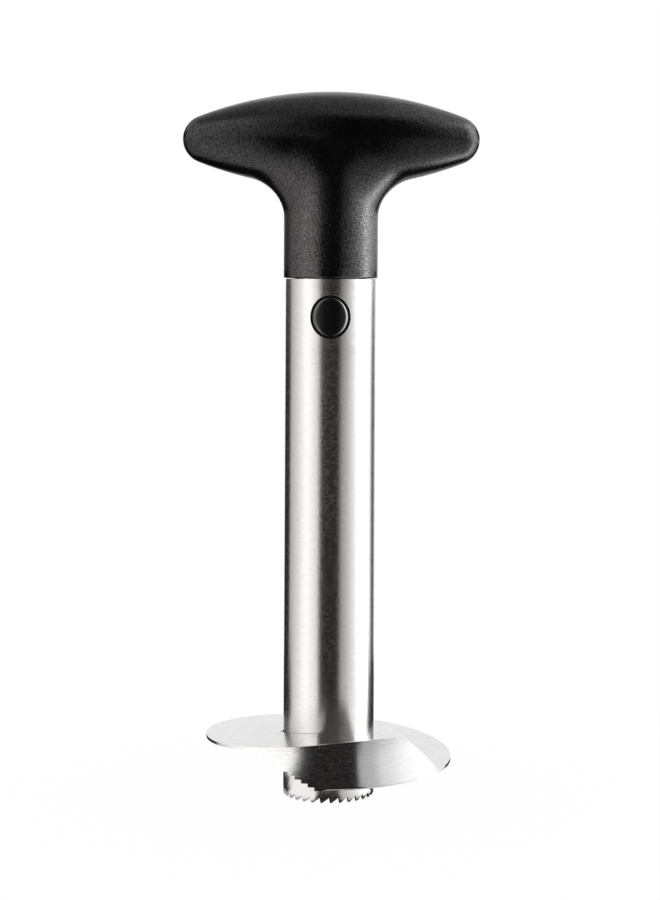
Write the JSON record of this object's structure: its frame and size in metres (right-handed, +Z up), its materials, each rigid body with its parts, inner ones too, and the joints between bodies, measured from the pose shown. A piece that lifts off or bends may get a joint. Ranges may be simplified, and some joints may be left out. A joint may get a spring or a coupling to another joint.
{
  "type": "pineapple slicer",
  "caption": "Hand-turned pineapple slicer: a saw-toothed core tube with a spiral cutting blade, under a T handle that lifts off when its side buttons are pressed.",
  "frame": {"origin": "on the core tube's axis, in the plane of the tooth tips that the slicer stands on", "axes": "+Z up the tube to the handle, +X along the handle's bar to its right end, -Y the front, where the slit of the blade, its cutting wall and the front button are"},
  "size_m": [0.1036, 0.085, 0.2445],
  "materials": {
    "tube_steel": "fine brushing round the tube, bright satin",
    "blade_steel": "bright, lightly brushed sheet with ground cutting edges",
    "weld_steel": "dull cleaned weld",
    "grip_black": "fine grained matt black",
    "core_plastic": "plain moulded, hidden inside the skin",
    "plug_black": "smooth moulded black",
    "button_black": "satin gloss black with a rounded bright rim",
    "spring_steel": "drawn spring wire",
    "screw_steel": "plain machined steel"
  },
  "bodies": {
    "tube": {"core_tube": "tube_steel", "spiral_blade": "blade_steel", "blade_weld_left": "weld_steel", "blade_weld_back": "weld_steel", "blade_weld_right": "weld_steel"},
    "handle": {"grip_skin": "grip_black", "handle_core": "core_plastic", "coupling_plug": "plug_black", "plug_end_cap": "plug_black", "plug_screw_left": "screw_steel", "plug_screw_right": "screw_steel", "spring_front": "spring_steel", "spring_rear": "spring_steel"},
    "front_button": {"button_front": "button_black"},
    "rear_button": {"button_rear": "button_black"}
  },
  "joints": [
    {"name": "handle_lift", "type": "slide", "parent": "tube", "child": "handle", "axis": [0, 0, 1], "range_m": [0, 0.13]},
    {"name": "front_button_press", "type": "slide", "parent": "handle", "child": "front_button", "axis": [0, 1, 0], "range_m": [0, 0.003], "stiffness_N_per_m": 800, "deforming": ["spring_front"]},
    {"name": "rear_button_press", "type": "slide", "parent": "handle", "child": "rear_button", "axis": [0, -1, 0], "range_m": [0, 0.003], "stiffness_N_per_m": 800, "deforming": ["spring_rear"]}
  ]
}
